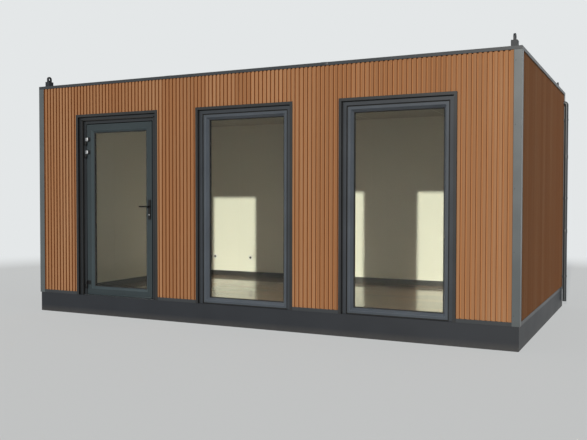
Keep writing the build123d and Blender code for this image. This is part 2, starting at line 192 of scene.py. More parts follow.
# Float glass with an anti-reflective coating: to the eye almost clear with a faint warm-green
# cast and clean reflections about a fifth as strong as on plain glass. Lamps shine through it.
def float_glass():
    material, tree, place = start_material("float_glass")
    wave_mm = 900
    wave = add(tree, "ShaderNodeTexNoise", {
        "Vector": place, "Scale": per_metre(wave_mm), "Detail": 1.0}).outputs["Fac"]
    # Roller waves are a few hundredths of a millimetre high, too small to shape the mesh
    bump = add(tree, "ShaderNodeBump", {
        "Height": wave, "Strength": 0.05, "Distance": 1.0 * MM}).outputs["Normal"]
    pane = add(tree, "ShaderNodeBsdfPrincipled", {
        "Base Color": linear("FBFDFA"), "Roughness": 0.0, "IOR": 1.2,
        "Transmission Weight": 1.0, "Normal": bump}).outputs["BSDF"]
    clear = add(tree, "ShaderNodeBsdfTransparent", {"Color": linear("FEFFFD")}).outputs["BSDF"]
    shadow = add(tree, "ShaderNodeLightPath").outputs["Is Shadow Ray"]
    mixed = add(tree, "ShaderNodeMixShader", {0: shadow, 1: pane, 2: clear}).outputs["Shader"]
    add(tree, "ShaderNodeOutputMaterial", {"Surface": mixed})
    return material


# Extruded EPDM rubber: to the eye a dull black with a dry, slightly dusty bloom. The same black
# also lines gaps and steps of the frames as painted shade.
def epdm_rubber_and_gap_shade():
    material, tree, place = start_material("epdm_rubber_and_gap_shade")
    bloom_mm = 35
    bloom = add(tree, "ShaderNodeTexNoise", {
        "Vector": place, "Scale": per_metre(bloom_mm), "Detail": 4.0}).outputs["Fac"]
    colour = add(tree, "ShaderNodeMix", {
        FACTOR: bloom, FIRST: linear("08090A"), SECOND: linear("141516")},
        data_type="RGBA").outputs[MIXED]
    rubber_skin = add(tree, "ShaderNodeBsdfPrincipled", {
        "Base Color": colour, "Roughness": 0.75, "IOR": 1.5}).outputs["BSDF"]
    add(tree, "ShaderNodeOutputMaterial", {"Surface": rubber_skin})
    return material


# Bare metal, brushed or drawn: to the eye grey metal with fine lines along one way.
def bare_metal(name, colour, roughness):
    material, tree, place = start_material(name)
    # Brush lines are about 0.1 mm apart, drawn 0.8 mm apart so that they show
    line_mm = (0.8, 40, 40)
    grain = add(tree, "ShaderNodeMapping", {
        "Vector": place, "Scale": per_metre_each(*line_mm)}).outputs["Vector"]
    lines = add(tree, "ShaderNodeTexNoise", {
        "Vector": grain, "Scale": 1.0, "Detail": 3.0}).outputs["Fac"]
    rub = add(tree, "ShaderNodeMapRange", {
        "Value": lines, "To Min": roughness - 0.07, "To Max": roughness + 0.1}).outputs["Result"]
    tint = add(tree, "ShaderNodeMix", {
        FACTOR: lines, FIRST: linear(colour, 0.85), SECOND: linear(colour)},
        data_type="RGBA").outputs[MIXED]
    metal = add(tree, "ShaderNodeBsdfPrincipled", {
        "Base Color": tint, "Metallic": 1.0, "Roughness": rub}).outputs["BSDF"]
    add(tree, "ShaderNodeOutputMaterial", {"Surface": metal})
    return material


# Coil-coated steel lining: polyester paint on thin steel sheet. To the eye, an even pale film
# with a light stipple.
def coated_lining(name, colour):
    material, tree, place = start_material(name)
    # The stipple is about 1 mm across, drawn 9 mm across so that it shows
    cloud_mm, stipple_mm = 700, 9
    cloud = add(tree, "ShaderNodeTexNoise", {
        "Vector": place, "Scale": per_metre(cloud_mm), "Detail": 3.0}).outputs["Fac"]
    tint = add(tree, "ShaderNodeMix", {
        FACTOR: cloud, FIRST: linear(colour, 0.93), SECOND: linear(colour)},
        data_type="RGBA").outputs[MIXED]
    stipple = add(tree, "ShaderNodeTexNoise", {
        "Vector": place, "Scale": per_metre(stipple_mm), "Detail": 2.0}).outputs["Fac"]
    bump = add(tree, "ShaderNodeBump", {
        "Height": stipple, "Strength": 0.15, "Distance": 0.4 * MM}).outputs["Normal"]
    paint = add(tree, "ShaderNodeBsdfPrincipled", {
        "Base Color": tint, "Roughness": 0.5, "IOR": 1.5, "Normal": bump}).outputs["BSDF"]
    add(tree, "ShaderNodeOutputMaterial", {"Surface": paint})
    return material


# Oak laminate: printed and pressed board under a satin wear layer. To the eye, warm brown
# planks of unlike tone with long open grain.
def oak_laminate():
    material, tree, place = start_material("oak_laminate")
    # Grain lines are about 3 mm apart, drawn 9 mm apart so that they show
    grain_mm, furthest_shift = (380, 9, 9), 37.0
    tone = add(tree, "ShaderNodeAttribute", attribute_name="plank_tone").outputs["Fac"]
    # The tone also moves the pattern, so that no plank repeats its neighbour
    shift = add(tree, "ShaderNodeMath", {0: tone, 1: furthest_shift},
                operation="MULTIPLY").outputs["Value"]
    away = add(tree, "ShaderNodeCombineXYZ", {"X": shift, "Z": shift}).outputs["Vector"]
    along = add(tree, "ShaderNodeMapping", {
        "Vector": place, "Scale": per_metre_each(*grain_mm)}).outputs["Vector"]
    moved = add(tree, "ShaderNodeVectorMath", {0: along, 1: away},
                operation="ADD").outputs["Vector"]
    grain = add(tree, "ShaderNodeTexNoise", {
        "Vector": moved, "Scale": 1.0, "Detail": 6.0, "Roughness": 0.6,
        "Distortion": 0.6}).outputs["Fac"]
    wood = add(tree, "ShaderNodeMix", {
        FACTOR: tone, FIRST: linear("7E5836"), SECOND: linear("9C7046")},
        data_type="RGBA").outputs[MIXED]
    pores = add(tree, "ShaderNodeMapRange", {
        "Value": grain, "From Min": 0.4, "From Max": 0.72, "To Min": 0.0,
        "To Max": 0.6}).outputs["Result"]
    wood = add(tree, "ShaderNodeMix", {
        FACTOR: pores, FIRST: wood, SECOND: linear("573C28")},
        data_type="RGBA").outputs[MIXED]
    bump = add(tree, "ShaderNodeBump", {
        "Height": grain, "Strength": 0.15, "Distance": 0.2 * MM}).outputs["Normal"]
    plank = add(tree, "ShaderNodeBsdfPrincipled", {
        "Base Color": wood, "Roughness": 0.35, "IOR": 1.5, "Coat Weight": 1.0,
        "Coat Roughness": 0.06, "Coat IOR": 1.5, "Normal": bump}).outputs["BSDF"]
    add(tree, "ShaderNodeOutputMaterial", {"Surface": plank})
    return material


# Spruce plywood, rotary cut: to the eye pale yellow with broad wavy grain, seen from below.
def spruce_plywood():
    material, tree, place = start_material("spruce_plywood")
    grain_mm = (500, 45, 45)
    along = add(tree, "ShaderNodeMapping", {
        "Vector": place, "Scale": per_metre_each(*grain_mm)}).outputs["Vector"]
    grain = add(tree, "ShaderNodeTexNoise", {
        "Vector": along, "Scale": 1.0, "Detail": 5.0, "Distortion": 1.4}).outputs["Fac"]
    wood = add(tree, "ShaderNodeMix", {
        FACTOR: grain, FIRST: linear("8E6D45"), SECOND: linear("CBAA78")},
        data_type="RGBA").outputs[MIXED]
    board = add(tree, "ShaderNodeBsdfPrincipled", {
        "Base Color": wood, "Roughness": 0.72, "IOR": 1.5}).outputs["BSDF"]
    add(tree, "ShaderNodeOutputMaterial", {"Surface": board})
    return material


# Roofing membrane: calendered rubber sheet. To the eye, dark grey with rain marks and a light
# bloom of dust.
def roofing_membrane():
    material, tree, place = start_material("roofing_membrane")
    # The pressed weave is about 2 mm across, drawn 11 mm across so that it shows
    mark_mm, weave_mm = 340, 11
    marks = add(tree, "ShaderNodeTexNoise", {
        "Vector": place, "Scale": per_metre(mark_mm), "Detail": 7.0,
        "Roughness": 0.62}).outputs["Fac"]
    colour = add(tree, "ShaderNodeMix", {
        FACTOR: marks, FIRST: linear("33363A"), SECOND: linear("5E605F")},
        data_type="RGBA").outputs[MIXED]
    weave = add(tree, "ShaderNodeTexNoise", {
        "Vector": place, "Scale": per_metre(weave_mm), "Detail": 2.0}).outputs["Fac"]
    bump = add(tree, "ShaderNodeBump", {
        "Height": weave, "Strength": 0.3, "Distance": 0.5 * MM}).outputs["Normal"]
    sheet = add(tree, "ShaderNodeBsdfPrincipled", {
        "Base Color": colour, "Roughness": 0.7, "IOR": 1.5, "Normal": bump}).outputs["BSDF"]
    add(tree, "ShaderNodeOutputMaterial", {"Surface": sheet})
    return material


# Moulded plastic: injection-moulded or extruded resin. To the eye, smooth with a low, even
# sheen and slight fading.
def moulded_plastic(name, colour, roughness):
    material, tree, place = start_material(name)
    fade_mm = 250
    fade = add(tree, "ShaderNodeTexNoise", {
        "Vector": place, "Scale": per_metre(fade_mm), "Detail": 3.0}).outputs["Fac"]
    tint = add(tree, "ShaderNodeMix", {
        FACTOR: fade, FIRST: linear(colour, 0.88), SECOND: linear(colour)},
        data_type="RGBA").outputs[MIXED]
    rub = add(tree, "ShaderNodeMapRange", {
        "Value": fade, "To Min": roughness - 0.05, "To Max": roughness + 0.07}).outputs["Result"]
    resin = add(tree, "ShaderNodeBsdfPrincipled", {
        "Base Color": tint, "Roughness": rub, "IOR": 1.5}).outputs["BSDF"]
    add(tree, "ShaderNodeOutputMaterial", {"Surface": resin})
    return material


base_coat = powder_coat("powder_coated_steel", "20242A", 0.46, dust_height_mm=80)
trim_coat = powder_coat("powder_coated_trim", "34383C", 0.34)
# A lighter copy of the trim coat with more gloss: the lightness is a painted reflection of the
# sky
corner_coat_painted_reflection = powder_coat("powder_coated_corner_trim_with_painted_reflection", "4E5558", 0.3, gloss=0.5)
# A darker copy of the trim coat: painted shade on the opening surrounds
surround_coat_painted_shade = powder_coat("powder_coated_surround_with_painted_shade", "282A2C", 0.34)
window_frame_coat = powder_coat("powder_coated_window_frame", "31363C", 0.36)
sash_coat = powder_coat("powder_coated_window_profile", "434A52", 0.34)
# A lighter copy of the sash coat: a painted highlight where the bead's bevel catches the sky
window_bead_coat_painted_highlight = powder_coat("powder_coated_window_bead_with_painted_highlight", "5A626C", 0.3)
# A darker copy of the window frame coat: painted shade on the door frame
door_frame_coat_painted_shade = powder_coat("powder_coated_door_frame_with_painted_shade", "262A2E", 0.36)
leaf_coat = powder_coat("powder_coated_door_profile", "2C363A", 0.36)
# A lighter copy of the leaf coat: a painted highlight on the bead's bevel
door_bead_coat_painted_highlight = powder_coat("powder_coated_door_bead_with_painted_highlight", "414D52", 0.3)
hardware_coat = powder_coat("powder_coated_fittings", "08090A", 0.46, peel_mm=6, gloss=0.25)
weld_coat = powder_coat("powder_coated_weld", "2B2F33", 0.5, peel_mm=5)
composite = wood_plastic_composite()
glass = float_glass()
rubber_and_gap_shade = epdm_rubber_and_gap_shade()
stainless = bare_metal("satin_stainless_steel", "C9CACB", 0.26)
aluminium_and_highlight = bare_metal("brushed_aluminium_and_highlight", "A2A4A6", 0.36)
lining = coated_lining("coated_steel_lining", "EFEDE1")
# A darker copy of the wall lining: painted shade on the ceiling
ceiling_coat_painted_shade = coated_lining("coated_steel_ceiling_with_painted_shade", "BDBAAE")
laminate = oak_laminate()
plywood = spruce_plywood()
membrane = roofing_membrane()
skirting_coat = moulded_plastic("painted_skirting", "201E1C", 0.42)
pipe_resin = moulded_plastic("extruded_downpipe_plastic", "33373A", 0.36)
socket_resin = moulded_plastic("moulded_socket_plastic", "EDECE6", 0.3)
# Dark resin for the contact holes and key slots: painted shade inside them
hole_shade_paint = moulded_plastic("painted_hole_shade", "1A1A1A", 0.5)
# Dark resin for the socket wells: painted shade inside them
well_shade_paint = moulded_plastic("painted_well_shade", "3A3A38", 0.45)
spacer_resin = moulded_plastic("black_spacer_plastic", "1B1C1E", 0.55)


# Mesh helpers
def metres(points_mm):
    """Outline points that are given in millimetres, in metres."""
    return [(first * MM, second * MM) for first, second in points_mm]


def add_block(mesh, corner, opposite, easing):
    """A rectangular piece between two opposite corners, with its edges eased."""
    low = Vector([min(pair) for pair in zip(corner, opposite)])
    high = Vector([max(pair) for pair in zip(corner, opposite)])
    made = bmesh.ops.create_cube(mesh, size=1.0)["verts"]
    for vertex in made:
        vertex.co = Vector([(low[i] + high[i]) / 2 + vertex.co[i] * (high[i] - low[i])
                            for i in range(3)])
    edges = list(dict.fromkeys(edge for vertex in made for edge in vertex.link_edges))
    bmesh.ops.bevel(mesh, geom=edges, offset=easing, segments=2, profile=0.5, affect="EDGES")


def add_turned(mesh, outline, centre, along, sides):
    """A turned piece from (radius, distance along) points, spun round an axis."""
    turn = Vector(along).to_track_quat("Z", "Y").to_matrix()
    rings = []
    for radius, distance in outline:
        ring = []
        for i in range(sides if radius else 1):
            angle = 2 * math.pi * i / sides
            point = Vector((radius * math.cos(angle), radius * math.sin(angle), distance))
            ring.append(mesh.verts.new(Vector(centre) + turn @ point))
        rings.append(ring)
    for near, far in zip(rings, rings[1:]):
        for i in range(sides):
            j = (i + 1) % sides
            if len(near) == 1:
                mesh.faces.new((near[0], far[i], far[j]))
            elif len(far) == 1:
                mesh.faces.new((near[i], near[j], far[0]))
            else:
                mesh.faces.new((near[i], near[j], far[j], far[i]))


def add_ring(mesh, low, high, section):
    """A mitred ring in the front wall, from (inset, y) points of its closed section."""
    corners = ((low[0], low[1], 1, 1), (high[0], low[1], -1, 1),
               (high[0], high[1], -1, -1), (low[0], high[1], 1, -1))
    loops = [[mesh.verts.new((x + sx * inset, y, z + sz * inset)) for inset, y in section]
             for x, z, sx, sz in corners]
    for i, loop in enumerate(loops):
        following = loops[(i + 1) % len(loops)]
        for j in range(len(section)):
            k = (j + 1) % len(section)
            mesh.faces.new((loop[j], loop[k], following[k], following[j]))


def make_piece(name, mesh, material, body="cabin", replaces=(), smooth_under=35):
    """Turns a finished mesh into a named piece that rides with its body."""
    bmesh.ops.recalc_face_normals(mesh, faces=mesh.faces)
    data = bpy.data.meshes.new(name)
    mesh.to_mesh(data)
    mesh.free()
    data.materials.append(material)
    data.shade_smooth()
    data.set_sharp_from_angle(angle=math.radians(smooth_under))
    piece = bpy.data.objects.new(name, data)
    bpy.context.scene.collection.objects.link(piece)
    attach(piece, body)
    if replaces:
        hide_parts(*replaces)
    return piece


def ease_edges(piece, width):
    """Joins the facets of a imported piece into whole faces, and rounds its sharp edges."""
    join = piece.modifiers.new("join", "WELD")
    join.merge_threshold = 0.02 * MM
    flat = piece.modifiers.new("flat", "DECIMATE")
    flat.decimate_type = "DISSOLVE"
    flat.angle_limit = math.radians(1)
    ease = piece.modifiers.new("ease", "BEVEL")
    ease.width = width
    ease.segments = 2
    ease.limit_method = "ANGLE"
    ease.angle_limit = math.radians(40)
    ease.harden_normals = True


def dress(material, *nodes, easing=0.0):
    """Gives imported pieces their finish, and eased edges where a width is named."""
    for node in nodes:
        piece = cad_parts[node]
        for material_slot in piece.material_slots:
            material_slot.material = material
        if easing:
            ease_edges(piece, easing)


# Fluted boards, each one its own length of section. A groove is (across, depth) points.
flute_pitch = 50 * MM
flute_phase = 8.9 * MM
flutes_per_board = 4
board_width = flutes_per_board * flute_pitch
first_board_joint = flute_phase + 2 * flute_pitch
groove_shape = metres([(-11.0, 0.0), (-9.8, 0.4), (-9.2, 1.4), (-8.8, 18.6), (-7.8, 20.0),
                       (7.8, 20.0), (8.8, 18.6), (9.2, 1.4), (9.8, 0.4), (11.0, 0.0)])
groove_depth = max(depth for across, depth in groove_shape)


def fluted_outline(start, end):
    """(along, depth) points of the fluted face between two ends of a board."""
    first = math.floor((start - flute_phase) / flute_pitch) - 1
    last = math.ceil((end - flute_phase) / flute_pitch) + 1
    points = [(flute_phase + k * flute_pitch + across, depth)
              for k in range(first, last + 1) for across, depth in groove_shape]
    inside = [p for p in points if start < p[0] < end]
    ends = []
    for edge in (start, end):
        before = max(p for p in points if p[0] <= edge)
        after = min(p for p in points if p[0] >= edge)
        share = 0 if after[0] == before[0] else (edge - before[0]) / (after[0] - before[0])
        ends.append((edge, before[1] + share * (after[1] - before[1])))
    return [ends[0], *inside, ends[1]]


def add_fluted_board(mesh, start, end, low, high, place, thickness, tone):
    """One length of board; place turns (along, depth) into x and y."""
    outline = fluted_outline(start, end) + [(end, thickness), (start, thickness)]
    tones = mesh.verts.layers.float["board_tone"]
    depths = mesh.verts.layers.float["groove_depth"]
    rings = []
    for z in (low, high):
        ring = []
        for along, depth in outline:
            corner = mesh.verts.new((*place(along, depth), z))
            corner[tones] = tone
            corner[depths] = min(depth / groove_depth, 1.0)
            ring.append(corner)
        rings.append(ring)
    for i in range(len(outline)):
        j = (i + 1) % len(outline)
        mesh.faces.new((rings[0][i], rings[0][j], rings[1][j], rings[1][i]))
    mesh.faces.new(rings[0])
    mesh.faces.new(rings[1])


def board_joints(start, end, cuts):
    """Ends of the boards along a wall: at each joint in a groove, and at each cut."""
    first = math.ceil((start - first_board_joint) / board_width)
    last = math.floor((end - first_board_joint) / board_width)
    joints = [first_board_joint + k * board_width for k in range(first, last + 1)]
    marks = sorted([start, end, *cuts] + [j for j in joints if start < j < end])
    return list(zip(marks, marks[1:]))


def clad_wall(name, start, end, place, thickness, nodes, openings=()):
    """One wall of fluted boards, cut short over its openings of (left, right, head)."""
    mesh = bmesh.new()
    mesh.verts.layers.float.new("board_tone")
    mesh.verts.layers.float.new("groove_depth")
    bottom, top = left_boards[0].z, left_boards[1].z
    past_joint = 1 * MM
    board = None
    cuts = [edge for left, right, head in openings for edge in (left, right)]
    for low, high in board_joints(start, end, cuts):
        number = math.floor((low + past_joint - first_board_joint) / board_width)
        if number != board:
            board, tone = number, rng.random()
        heads = [head for left, right, head in openings if left <= (low + high) / 2 <= right]
        foot = heads[0] if heads else bottom
        add_fluted_board(mesh, low, high, foot, top, place, thickness, tone)
    make_piece(name, mesh, composite, replaces=nodes)


def clad_all_walls():
    """The boards of the front, rear, left and right walls."""
    side_x, front_y = left_boards[0].x, left_boards[0].y
    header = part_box("cladding_front_header")
    thickness = header[1].y - front_y
    surround_return = 4 * MM
    half = window_1[1].x + surround_return
    openings = [(x - half, x + half, header[0].z) for x in opening_centres]
    clad_wall("front_fluted_boards", side_x, -side_x,
              lambda along, depth: (along, front_y + depth), thickness,
              ("cladding_front_header", "cladding_front_piers"), openings)
    clad_wall("rear_fluted_boards", side_x, -side_x,
              lambda along, depth: (along, -front_y - depth), thickness, ("cladding_rear",))
    inner = front_y + thickness
    clad_wall("left_fluted_boards", inner, -inner,
              lambda along, depth: (side_x + depth, along), thickness, ("cladding_left",))
    clad_wall("right_fluted_boards", inner, -inner,
              lambda along, depth: (-side_x - depth, along), thickness, ("cladding_right",))


def glaze(name, body, node, panes):
    """A sealed pane of two sheets for each (low, high) pair, its spacer and its gaskets."""
    sheet, spacer, bend, lip, ease = 4 * MM, 16 * MM, 1 * MM, 5 * MM, 0.5 * MM
    sheets, bars, seals = bmesh.new(), bmesh.new(), bmesh.new()
    for (x0, y0, z0), (x1, y1, z1) in panes:
        near, far = y0 + sheet, y1 - sheet
        add_block(sheets, (x0, y0, z0), (x1, near, z1), ease)
        add_block(sheets, (x0, far, z0), (x1, y1, z1), ease)
        add_ring(bars, (x0, z0), (x1, z1), [
            (0, near), (spacer, near), (spacer + bend, near + bend),
            (spacer + bend, far - bend), (spacer, far), (0, far)])
        for face, out in ((y0, -1), (y1, 1)):
            add_ring(seals, (x0 + pane_edge, z0 + pane_edge), (x1 - pane_edge, z1 - pane_edge), [
                (0, face), (0, face + out * lip), (3 * MM, face + out * lip),
                (9 * MM, face + out * 2 * MM), (10 * MM, face + out * 0.2 * MM),
                (10 * MM, face)])
    glazing = make_piece(name + "_glass_sheets", sheets, glass, body,
                         replaces=(node,), smooth_under=20)
    # Light scattered in the room leaves it straight, so that no lamp is counted twice
    glazing.visible_diffuse = False
    make_piece(name + "_spacer_bars", bars, spacer_resin, body)
    make_piece(name + "_glazing_gaskets", seals, rubber_and_gap_shade, body)


def glaze_openings():
    """The panes of the two windows, and the pane of the door."""
    low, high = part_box("window_glass")
    half = high.x - window_2_centre
    glaze("window", "cabin", "window_glass",
          [((x - half, low.y, low.z), (x + half, high.y, high.z)) for x in window_centres])
    low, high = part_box("door_glass")
    glaze("door", "door", "door_glass", [(tuple(low), tuple(high))])


def add_bead(mesh, low, high, face, foot):
    """A bevelled glazing bead round a daylight opening, from the frame's face to the pane."""
    add_ring(mesh, low, high, [
        (-27 * MM, face + 1 * MM), (-26.2 * MM, face - 0.8 * MM), (-24 * MM, face - 0.8 * MM),
        (0.6 * MM, foot - 6.2 * MM), (1.2 * MM, foot - 5 * MM), (1.2 * MM, foot - 0.4 * MM),
        (-1 * MM, foot - 0.4 * MM), (-1 * MM, foot - 4 * MM)])


def clip_in_beads():
    """The beads of the two windows and of the door, in lighter coats that paint a highlight on
    them.
    """
    mesh = bmesh.new()
    sash_width = 52 * MM
    pane_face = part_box("window_glass")[0].y
    for number in (1, 2):
        low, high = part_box(f"window_{number}_sash")
        add_bead(mesh, (low.x + sash_width, low.z + sash_width),
                 (high.x - sash_width, high.z - sash_width), low.y, pane_face)
    make_piece("window_glazing_beads", mesh, window_bead_coat_painted_highlight)
    mesh = bmesh.new()
    low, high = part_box("door_glass")
    add_bead(mesh, (low.x + pane_edge, low.z + pane_edge),
             (high.x - pane_edge, high.z - pane_edge), leaf[0].y, low.y)
    make_piece("door_glazing_beads", mesh, door_bead_coat_painted_highlight, "door")


def seal_and_shade_window(mesh, number):
    """Black rubber lining the gap between frame and sash as painted shade, and sealant round the
    frame.
    """
    gap, film, lip, base = 12 * MM, 1.2 * MM, 1 * MM, 3 * MM
    low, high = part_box(f"window_{number}_sash")
    bottom = low.y + 10 * MM
    add_ring(mesh, (low.x, low.z), (high.x, high.z), [
        (-gap, frame_face + lip), (film - gap, frame_face + lip), (film - gap, bottom),
        (-film, bottom), (-film, low.y + lip), (0, low.y + lip), (0, bottom + base),
        (-gap, bottom + base)])
    # Black sealant in the corner round the frame: real sealant, whose black also paints the
    # corner's shade
    low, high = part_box(f"window_{number}_frame")
    add_ring(mesh, (low.x, low.z), (high.x, high.z), [
        (0, frame_face), (0, frame_face - sealant), (sealant, frame_face)])


def seal_leaf(mesh):
    """A soft lip on the stop of the door frame, all round behind the edge of the leaf."""
    low, high = leaf
    past_leaf, stop_gap = 6 * MM, 6 * MM
    back, stop = high.y, high.y + stop_gap
    add_ring(mesh, (low.x - past_leaf, low.z - past_leaf),
             (high.x + past_leaf, high.z + past_leaf), [
                 (2 * MM, stop), (2 * MM, back + 2 * MM), (4 * MM, back + 1 * MM),
                 (7 * MM, back + 2 * MM), (8 * MM, stop)])


def seal_and_shade_door_frame(mesh):
    """Black rubber down the step of the jambs and head as painted shade, and sealant along their
    outer edge.
    """
    low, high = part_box("door_jambs")
    outer_band, film, over, under, ease = 44 * MM, 1.5 * MM, 12 * MM, 5 * MM, 0.5 * MM
    left, right = low.x + outer_band, high.x - outer_band
    foot, head = sill + 1 * MM, high.z - outer_band
    # Over the face, down the side of the step, and along its bottom: black strips of painted
    # shade
    strips = ((-over, film, frame_face - film, frame_face + 1 * MM),
              (0, film, frame_face, leaf[0].y), (0, under, leaf[0].y - 3 * MM, leaf[0].y))
    for start, end, near, far in strips:
        add_block(mesh, (left + start, near, foot), (left + end, far, head - start), ease)
        add_block(mesh, (right - start, near, foot), (right - end, far, head - start), ease)
        add_block(mesh, (left + start, near, head - end), (right - start, far, head - start),
                  ease)
    # Black sealant along the outer edge: real sealant, whose black also paints the corner's
    # shade
    near, far = frame_face - 3 * MM, frame_face
    add_block(mesh, (low.x, near, low.z), (low.x + sealant, far, high.z), ease)
    add_block(mesh, (high.x, near, low.z), (high.x - sealant, far, high.z), ease)
    add_block(mesh, (low.x, near, high.z - sealant), (high.x, far, high.z), ease)


def seal_and_shade_frames():
    """Rubber and sealant of the windows and of the door frame, much of it black painted shade.
    """
    mesh = bmesh.new()
    seal_and_shade_window(mesh, 1)
    seal_and_shade_window(mesh, 2)
    seal_leaf(mesh)
    seal_and_shade_door_frame(mesh)
    make_piece("frame_seals_and_shade_liners", mesh, rubber_and_gap_shade)


# Inside: planks, panel joints and sockets
def lay_planks():
    """Rows of planks, each row started at another place, with a tone for each plank."""
    mesh = bmesh.new()
    tones = mesh.verts.layers.float.new("plank_tone")
    low, high = room
    length, width, bevel = 1285 * MM, 192 * MM, 1.2 * MM
    row_step = 0.37
    for row in range(math.ceil((high.y - low.y) / width)):
        y0 = low.y + row * width
        y1 = min(y0 + width, high.y)
        x = low.x - length * ((row * row_step) % 1)
        while x < high.x:
            x0, x1 = max(x, low.x), min(x + length, high.x)
            if x1 - x0 > 4 * bevel:
                before = len(mesh.verts)
                add_block(mesh, (x0, y0, low.z), (x1, y1, high.z), bevel)
                mesh.verts.ensure_lookup_table()
                tone = rng.random()
                for corner in mesh.verts[before:]:
                    corner[tones] = tone
            x += length
    make_piece("laminate_planks", mesh, laminate, replaces=("flooring",),
               smooth_under=10)


def panel_joints():
    """The strips where the lining sheets of walls and ceiling meet, and the corner angles."""
    mesh = bmesh.new()
    low, high = room
    foot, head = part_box("skirting_boards")[1].z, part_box("ceiling_panel")[0].z
    proud, half, ease = 1.5 * MM, 6 * MM, 0.5 * MM
    sheet_width, first_on_rear, first_on_side = 1.15, -2.0, -0.45
    for x in (first_on_rear + step * sheet_width for step in range(5)):
        add_block(mesh, (x - half, high.y - proud, foot), (x + half, high.y, head), ease)
        add_block(mesh, (x - half, low.y, head - proud), (x + half, high.y, head), ease)
    for y in (first_on_side + step * sheet_width for step in range(2)):
        for x, out in ((low.x, 1), (high.x, -1)):
            add_block(mesh, (x, y - half, foot), (x + out * proud, y + half, head), ease)
    make_piece("lining_joint_strips", mesh, lining)
    mesh = bmesh.new()
    leg, sheet, ease = 25 * MM, 1.2 * MM, 0.3 * MM
    for x, out in ((low.x, 1), (high.x, -1)):
        for y, back in ((low.y, 1), (high.y, -1)):
            add_block(mesh, (x, y, foot), (x + out * leg, y + back * sheet, head), ease)
            add_block(mesh, (x, y, foot), (x + out * sheet, y + back * leg, head), ease)
    make_piece("lining_corner_angles", mesh, lining)


def socket_inserts():
    """Dark liners and contact holes that paint the shade in the socket wells, and earth clips.
    """
    low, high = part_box("wall_sockets")
    half_socket, steps = 40 * MM, (0, 82 * MM, 756 * MM)
    z, well_depth = (low.z + high.z) / 2, 5.3 * MM
    bottom = low.y + well_depth
    well_shade_outline = metres([(0, 5.3), (19.2, 5.3), (19.2, 0.6), (19.9, 0.4), (19.9, 5.8), (0, 5.8)])
    hole = metres([(0, 0), (2.6, 0), (2.9, 0.3), (2.9, 0.5)])
    hole_from_middle, clip_half, clip_near, clip_far = 9.5 * MM, 2 * MM, 15 * MM, 19 * MM
    holes, clips, well_shade_cups = bmesh.new(), bmesh.new(), bmesh.new()
    for x in (low.x + half_socket + step for step in steps):
        # Dark cups in the wells: painted shade
        add_turned(well_shade_cups, well_shade_outline, (x, low.y, z), (0, 1, 0), sides=36)
        for side in (-1, 1):
            # The contact holes are dark discs: painted shade inside the holes
            add_turned(holes, hole, (x + side * hole_from_middle, bottom, z), (0, -1, 0),
                       sides=16)
            add_block(clips, (x - clip_half, low.y + 1 * MM, z + side * clip_near),
                      (x + clip_half, bottom, z + side * clip_far), easing=0.4 * MM)
    make_piece("socket_contact_holes", holes, hole_shade_paint)
    make_piece("socket_well_shade_liners", well_shade_cups, well_shade_paint)
    make_piece("socket_earth_clips", clips, stainless)


# Fixings and fittings
def add_rivet(mesh, centre, along):
    """A domed rivet head."""
    radius, height = 4 * MM, 1.5 * MM
    outline = [(radius, 0), (radius * 0.96, height * 0.45), (radius * 0.7, height * 0.85),
               (radius * 0.3, height), (0, height)]
    add_turned(mesh, outline, centre, along, sides=12)


def fix_trims():
    """Rivets down both legs of each corner trim."""
    mesh = bmesh.new()
    low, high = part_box("corner_trims")
    rows, from_end, from_corner = 5, 100 * MM, 60 * MM
    for row in range(rows):
        z = low.z + from_end + row * (high.z - low.z - 2 * from_end) / (rows - 1)
        for side in (-1, 1):
            for end in (-1, 1):
                x, y = side * high.x, end * high.y
                add_rivet(mesh, (x - side * from_corner, y, z), (0, end, 0))
                add_rivet(mesh, (x, y - end * from_corner, z), (side, 0, 0))
    make_piece("corner_trim_rivets", mesh, trim_coat)


def cover_cap_joints():
    """Folded straps over the joints of the roof cap, a third of the length apart."""
    mesh = bmesh.new()
    low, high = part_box("roof_cap")
    proud, half, leg, ease = 1 * MM, 40 * MM, 150 * MM, 0.3 * MM
    joint_x = 1.0
    for x in (-joint_x, joint_x):
        for end in (-1, 1):
            face = end * high.y
            top = high.z + proud
            add_block(mesh, (x - half, face + end * proud, low.z), (x + half, face, top), ease)
            add_block(mesh, (x - half, face, high.z), (x + half, face - end * leg, top), ease)
    make_piece("roof_cap_joint_straps", mesh, trim_coat)


def lap_membrane():
    """Welded laps of the roof sheets, following the fall of the roof."""
    mesh = bmesh.new()
    low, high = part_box("roof_panel")
    fall, half, thickness = 30 * MM, 30 * MM, 2 * MM
    first_lap, sheet_width = -1.9, 1.3
    for x in (first_lap + step * sheet_width for step in range(4)):
        before = len(mesh.verts)
        add_block(mesh, (x - half, low.y, high.z), (x + half, high.y, high.z + thickness),
                  easing=0.8 * MM)
        mesh.verts.ensure_lookup_table()
        for corner in mesh.verts[before:]:
            corner.co.z -= fall * (corner.co.y - low.y) / (high.y - low.y)
    make_piece("membrane_laps", mesh, membrane)


